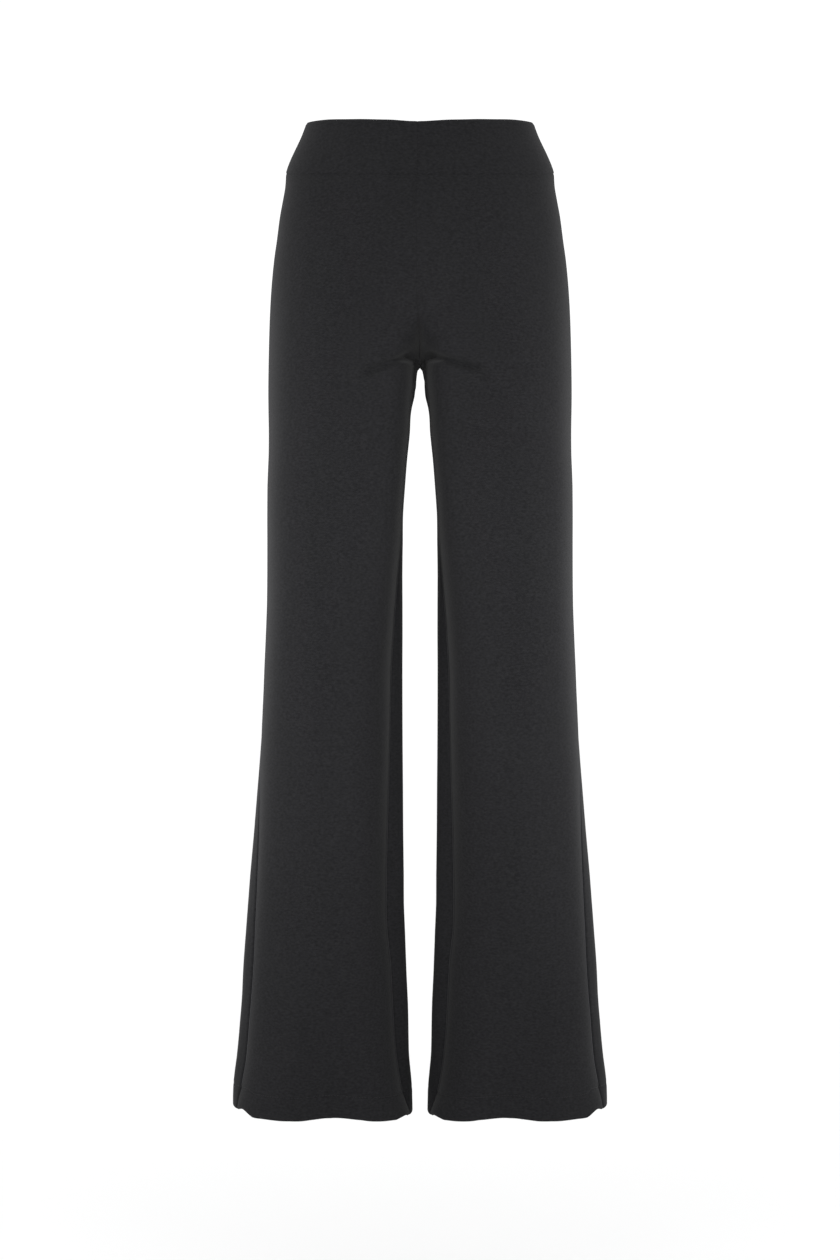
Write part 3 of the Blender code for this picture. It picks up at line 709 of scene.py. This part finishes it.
def stitches(name, outer, level, run):
    """The hem's stitches along one panel, as short rounded threads that lie in their line."""
    k = int(np.argmin(np.abs(level - (HEM + STITCH))))
    line, where = outer[k], run[k]
    around = outer[k - 3] - outer[k + 3]
    along_line = np.gradient(line, axis=0)
    n = np.cross(along_line, around)
    n /= np.linalg.norm(n, axis=1, keepdims=True)
    centre = line.mean(0)
    middle = np.array([np.sign(centre[0]) * 0.105, 0.0, 0.0])
    n *= np.sign(((line - middle) * n * [1, 1, 0]).sum(1))[:, None]
    pitch, long, thick = 3.2 * MM, 2.4 * MM, 0.13 * MM
    starts = np.arange(1.2 * MM, where[-1] - long, pitch)
    sides, rings = 6, ((0.0, 0.3), (0.12, 0.85), (0.5, 1.0), (0.88, 0.85), (1.0, 0.3))
    verts, faces = [], []
    for s in starts:
        base = len(verts)
        for t, r in rings:
            d = s + t * long
            p = np.array([np.interp(d, where, line[:, i]) for i in range(3)])
            m = np.array([np.interp(d, where, n[:, i]) for i in range(3)])
            m /= np.linalg.norm(m)
            up = np.array([0, 0, 1.0])
            up = up - m * (up @ m)
            up /= np.linalg.norm(up)
            arch = 0.10 * MM * np.sin(np.pi * t) - 0.02 * MM
            for i in range(sides):
                a = 2 * np.pi * i / sides
                verts.append(p + m * arch + (m * np.sin(a) + up * np.cos(a)) * r * thick)
        for j in range(len(rings) - 1):
            for i in range(sides):
                a, b = base + j * sides + i, base + j * sides + (i + 1) % sides
                faces.append((a, b, b + sides, a + sides))
        faces.append(tuple(base + i for i in range(sides))[::-1])
        faces.append(tuple(base + (len(rings) - 1) * sides + i for i in range(sides)))
    mesh = bpy.data.meshes.new(name + "_hem_stitches")
    mesh.from_pydata([tuple(map(float, v)) for v in verts], [], faces)
    mesh.validate()
    mesh.polygons.foreach_set("use_smooth", np.ones(len(mesh.polygons), bool))
    piece = bpy.data.objects.new(mesh.name, mesh)
    bpy.context.scene.collection.objects.link(piece)
    return piece


BAND_THICK = 2.9 * MM
BAND_OUT = 0.35 * MM  # how far the band stands out from the panels under it


def band_part(face, share, rows):
    """The waistband's outer surface on the wearer's left, as rows from its top edge (0) to its lower edge (1), and its height at each point."""
    q, h = np.meshgrid(share, rows)
    c, s = along_waist(share)
    c, s = c[:, 0], s[:, 0]
    deep = -WAIST_FRONT if face == "front" else WAIST_BACK
    top = np.stack([WAIST_HALF * c, deep * s, 0 * s], -1)
    top[:, 2] = top[:, 1] * WAIST_TILT
    if face == "front":
        top[:, 2] -= WAIST_DIP * bump(top[:, 0], 0, DIP_REACH)
        top[:, 2] += 0.75 * MM * bump(top[:, 0], 98 * MM, 17 * MM) - 0.5 * MM * bump(top[:, 0], 44 * MM, 14 * MM)
    z = BAND_SIDE + band_drop(face, share)
    x, y, _ = panel_xy(face, share, z)
    low = np.stack([x, y, z], -1)
    out = np.stack([x, y * (WAIST_HALF / WAIST_FRONT) ** 2, 0 * x], -1)
    out /= np.linalg.norm(out, axis=-1, keepdims=True)
    low = low + BAND_OUT * out
    lean = np.minimum(h / 0.965, 1)[..., None]
    lean = lean + 0.35 * (ease(lean) - lean)
    grid = top + (low - top) * lean
    grid[..., 2] = top[:, 2] + (low[:, 2] - top[:, 2]) * h + HAIR
    return grid, q, h


def band_piece(name, grid, q, h, run, flip, ends):
    """A waistband piece's outer and inner surfaces, with the relief at its edges and seams, and its outward normals.
    ends are the columns that are seams.
    """
    out = normals(grid) * (-1 if flip else 1)
    tall = (grid[0, :, 2] - grid[-1, :, 2])[None]
    down = h * tall
    fine = -0.8 * MM * bump(down, 0, 1.1 * MM) - 0.45 * MM * bump(tall - down, 0, 1.0 * MM)
    for at_end in ends:
        e = np.abs(run - run[:, at_end][:, None])
        fine = fine - 0.35 * MM * bump(e, 0, 0.8 * MM) + 0.08 * MM * bump(e, 3.6 * MM, 2.0 * MM)
    fine = fine + 0.14 * MM * bump(down, 7 * MM, 5 * MM)
    outer = grid + out * fine[..., None]
    inner = grid - out * BAND_THICK
    inner[..., 2] = outer[..., 2]
    return outer, inner, out


def bands(share, rows):
    """The three waistband pieces."""
    made = []
    front, qf, hf = band_part("front", share, rows)
    run = np.concatenate([np.zeros((len(rows), 1)), np.cumsum(np.linalg.norm(np.diff(front, axis=1), axis=-1), 1)], 1)
    for side, word in ((1, "left"), (-1, "right")):
        turn = np.array([side, 1.0, 1.0])
        outer, inner, _ = band_piece("", front, qf, hf, run, False, (0, -1))
        for g in (outer, inner):
            g[..., 0] = g[..., 0].clip(0) + 0.1 * HAIR
            g[..., 1] -= HAIR
            pull_centre(g, side, BAND_SHIFT)
        made.append(close_band(f"waistband_front_{word}", outer * turn, inner * turn, run, side < 0))
    half, qb, hb = band_part("back", share, rows)
    half[:, -1, 0] = 0
    mirror = np.array([-1.0, 1.0, 1.0])
    whole = np.concatenate([half, (half * mirror)[:, -2::-1]], 1)
    whole_h = np.concatenate([hb, hb[:, -2::-1]], 1)
    run = np.concatenate([np.zeros((len(rows), 1)), np.cumsum(np.linalg.norm(np.diff(whole, axis=1), axis=-1), 1)], 1)
    outer, inner, _ = band_piece("", whole, None, whole_h, run, True, (0, -1))
    for g in (outer, inner):
        g[..., 1] += HAIR
    made.append(close_band("waistband_back", outer, inner, run, True))
    return made


def close_band(name, outer, inner, run, flip):
    up = np.array([0, 0, 1.0])
    pick = list(range(len(outer)))
    low = rounded(outer[-1], inner[-1], -up * 0.45, 5)
    high = rounded(inner[0], outer[0], up * 0.8, 7)
    v = outer[..., 2]
    uv = np.stack([run, v], -1)
    uv_all = np.concatenate([uv, np.repeat(uv[-1:], len(low), 0), uv[::-1], np.repeat(uv[:1], len(high), 0)])
    return shell(name + "_cloth", outer, inner, pick, low, high, flip, uv_all)


# ---------------------------------------------------------------- materials


def node(tree, kind, **values):
    n = tree.nodes.new(kind)
    for key, value in values.items():
        setattr(n, key, value)
    return n


def knit(name, tone, sheen):
    """Near-black double-knit jersey: matt, with a fine grain across and a soft sheen."""
    m = bpy.data.materials.new(name)
    m.use_nodes = True
    tree = m.node_tree
    shader = tree.nodes["Principled BSDF"]
    link = tree.links.new
    uv = node(tree, "ShaderNodeUVMap", uv_map="cloth")
    where = node(tree, "ShaderNodeTexCoord")
    # a fine mottle, longer across than along
    stretch = node(tree, "ShaderNodeMapping")
    stretch.inputs["Scale"].default_value = (300, 300, 560)
    link(where.outputs["Object"], stretch.inputs["Vector"])
    grain = node(tree, "ShaderNodeTexNoise", noise_dimensions="3D")
    grain.inputs["Scale"].default_value = 1.0
    grain.inputs["Detail"].default_value = 1.5
    grain.inputs["Roughness"].default_value = 0.5
    link(stretch.outputs["Vector"], grain.inputs["Vector"])
    wide = node(tree, "ShaderNodeMapping")
    wide.inputs["Scale"].default_value = (16, 16, 7)
    link(where.outputs["Object"], wide.inputs["Vector"])
    cloud = node(tree, "ShaderNodeTexNoise", noise_dimensions="3D")
    cloud.inputs["Scale"].default_value = 1.0
    cloud.inputs["Detail"].default_value = 2.0
    link(wide.outputs["Vector"], cloud.inputs["Vector"])
    both = node(tree, "ShaderNodeMix", data_type="FLOAT")
    both.inputs["Factor"].default_value = 0.15
    link(grain.outputs["Fac"], both.inputs["A"])
    link(cloud.outputs["Fac"], both.inputs["B"])
    ramp = node(tree, "ShaderNodeValToRGB")
    ramp.color_ramp.elements[0].position = 0.3
    ramp.color_ramp.elements[1].position = 0.7
    ramp.color_ramp.elements[0].color = (*(c * 0.77 for c in tone), 1)
    ramp.color_ramp.elements[1].color = (*(c * 1.23 for c in tone), 1)
    link(both.outputs["Result"], ramp.inputs["Fac"])
    # painted highlight: the base colour is lightened along the seam edges, where the mesh's mask marks them
    highlight_mask = node(tree, "ShaderNodeAttribute", attribute_name="seam_highlight")
    with_highlight = node(tree, "ShaderNodeMix", data_type="RGBA", clamp_factor=True)
    link(highlight_mask.outputs["Fac"], with_highlight.inputs["Factor"])
    link(ramp.outputs["Color"], with_highlight.inputs["A"])
    with_highlight.inputs["B"].default_value = (*(c * 3.2 for c in tone), 1)
    link(with_highlight.outputs["Result"], shader.inputs["Base Color"])
    # the knit's wales and courses
    rib = node(tree, "ShaderNodeMapping")
    rib.inputs["Scale"].default_value = (2 * np.pi / 0.00078, 2 * np.pi / 0.00062, 1)
    link(uv.outputs["UV"], rib.inputs["Vector"])
    split = node(tree, "ShaderNodeSeparateXYZ")
    link(rib.outputs["Vector"], split.inputs["Vector"])
    waves = []
    for axis in ("X", "Y"):
        s = node(tree, "ShaderNodeMath", operation="SINE")
        link(split.outputs[axis], s.inputs[0])
        waves.append(s)
    mixed = node(tree, "ShaderNodeMath", operation="ADD")
    for i, s in enumerate(waves):
        link(s.outputs["Value"], mixed.inputs[i])
    rough = node(tree, "ShaderNodeMath", operation="MULTIPLY_ADD")
    link(grain.outputs["Fac"], rough.inputs[0])
    rough.inputs[1].default_value = 3.0
    link(mixed.outputs["Value"], rough.inputs[2])
    relief = node(tree, "ShaderNodeBump")
    relief.inputs["Strength"].default_value = 0.35
    relief.inputs["Distance"].default_value = 0.00004
    link(rough.outputs["Value"], relief.inputs["Height"])
    link(relief.outputs["Normal"], shader.inputs["Normal"])
    shader.inputs["Roughness"].default_value = 0.8
    shader.inputs["Metallic"].default_value = 0.0
    shader.inputs["Specular IOR Level"].default_value = 0.0
    shader.inputs["Sheen Weight"].default_value = sheen
    shader.inputs["Sheen Roughness"].default_value = 0.5
    shader.inputs["Sheen Tint"].default_value = (1, 1, 1, 1)
    return m


def thread(name, tone):
    m = bpy.data.materials.new(name)
    m.use_nodes = True
    tree = m.node_tree
    shader = tree.nodes["Principled BSDF"]
    spun = node(tree, "ShaderNodeTexNoise")
    spun.inputs["Scale"].default_value = 900
    ramp = node(tree, "ShaderNodeValToRGB")
    ramp.color_ramp.elements[0].color = (*(c * 0.8 for c in tone), 1)
    ramp.color_ramp.elements[1].color = (*(c * 1.25 for c in tone), 1)
    tree.links.new(spun.outputs["Fac"], ramp.inputs["Fac"])
    tree.links.new(ramp.outputs["Color"], shader.inputs["Base Color"])
    shader.inputs["Roughness"].default_value = 0.65
    shader.inputs["Specular IOR Level"].default_value = 0.25
    return m


def plain(name, tone):
    m = bpy.data.materials.new(name)
    m.use_nodes = True
    shader = m.node_tree.nodes["Principled BSDF"]
    shader.inputs["Base Color"].default_value = (tone, tone, tone, 1)
    shader.inputs["Roughness"].default_value = 0.9
    shader.inputs["Specular IOR Level"].default_value = 0.1
    return m


# ---------------------------------------------------------------- the object

LEG_TONE = (0.0127, 0.0127, 0.0136)
BAND_TONE = (0.0127, 0.0127, 0.0136)
SHEEN = 0.0446
leg_cloth = knit("leg_knit_cloth", LEG_TONE, SHEEN)
band_cloth = knit("waistband_knit_cloth", BAND_TONE, SHEEN)
hem_thread = thread("hem_thread", (0.012, 0.012, 0.013))

share, rows = columns(), heights()
for face in ("front", "back"):
    base = surface(face, share, rows)
    for side in (1, -1):
        piece, seam = leg_panel(face, side, share, rows, base)
        piece.data.materials.append(leg_cloth)
        seam.data.materials.append(hem_thread)
        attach(piece, "root")
        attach(seam, "root")
        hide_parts(f"{face}_{'left' if side > 0 else 'right'}")

band_share = np.concatenate([np.array([0, 0.3, 0.6, 1.0, 1.5, 2.1, 2.9, 4, 5.5, 7.5]) / 190, np.linspace(10 / 190, 180 / 190, 86), 1 - np.array([7.5, 5.5, 4, 2.9, 2.1, 1.5, 1.0, 0.6, 0.3, 0]) / 190])
band_rows = np.concatenate([np.array([0, 0.3, 0.6, 1.0, 1.5, 2.1, 2.9, 4.0]) / 58, np.linspace(5.5 / 58, 52.5 / 58, 36), 1 - np.array([4.0, 2.9, 2.1, 1.5, 1.0, 0.6, 0.3, 0]) / 58])
for piece in bands(band_share, band_rows):
    piece.data.materials.append(band_cloth)
    target = piece.name.removesuffix("_cloth")
    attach(piece, "root")
    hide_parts(target)

# ---------------------------------------------------------------- the studio

STUDIO = 1.08  # the brightness of the white surroundings
world = bpy.context.scene.world or bpy.data.worlds.new("studio")
bpy.context.scene.world = world
world.use_nodes = True
sky = world.node_tree.nodes.get("Background") or world.node_tree.nodes.new("ShaderNodeBackground")
sky.inputs["Color"].default_value = (1, 1, 1, 1)
sky.inputs["Strength"].default_value = STUDIO

floor_mesh = bpy.data.meshes.new("floor")
floor_mesh.from_pydata([(-15, -8, -1.3), (15, -8, -1.3), (15, 22, -1.3), (-15, 22, -1.3)], [], [(0, 1, 2, 3)])
floor = bpy.data.objects.new("floor", floor_mesh)
floor_mesh.materials.append(plain("floor_white", 0.95))
bpy.context.scene.collection.objects.link(floor)


def soft_light(name, place, size, power, spread):
    """A soft box level with the middle of the legs, turned towards them, that lights them most at that height."""
    data = bpy.data.lights.new(name, "AREA")
    data.shape, data.size, data.size_y, data.energy = "RECTANGLE", size[0], size[1], power * STUDIO
    data.spread = np.radians(spread)
    lamp = bpy.data.objects.new(name, data)
    lamp.location = (*place, -0.5)
    lamp.rotation_euler = (Vector((0, 0, -0.5)) - lamp.location).to_track_quat("-Z", "Y").to_euler()
    lamp.visible_camera = False
    bpy.context.scene.collection.objects.link(lamp)


soft_light("front_soft", (0, -3.4), (1.2, 0.8), 2.9, 24)
for s, word in ((1, "left"), (-1, "right")):
    soft_light(f"side_soft_{word}", (s * 1.3, 0), (0.8, 0.5), 1.56, 60)
    soft_light(f"back_soft_{word}", (s * 1.0, 1.1), (0.8, 0.5), 2.93, 60)

camera_data = bpy.data.cameras.new("camera")
camera_data.lens = 2414 / 1260 * 36
camera_data.sensor_width = 36
camera_data.sensor_fit = "AUTO"
camera_data.clip_end = 100
camera = bpy.data.objects.new("camera", camera_data)
camera.location = (0, -2.6, -0.545)
camera.rotation_euler = (np.pi / 2, 0, 0)
bpy.context.scene.collection.objects.link(camera)
bpy.context.scene.camera = camera
bpy.context.scene.view_settings.view_transform = "Standard"
bpy.context.scene.view_settings.look = "None"
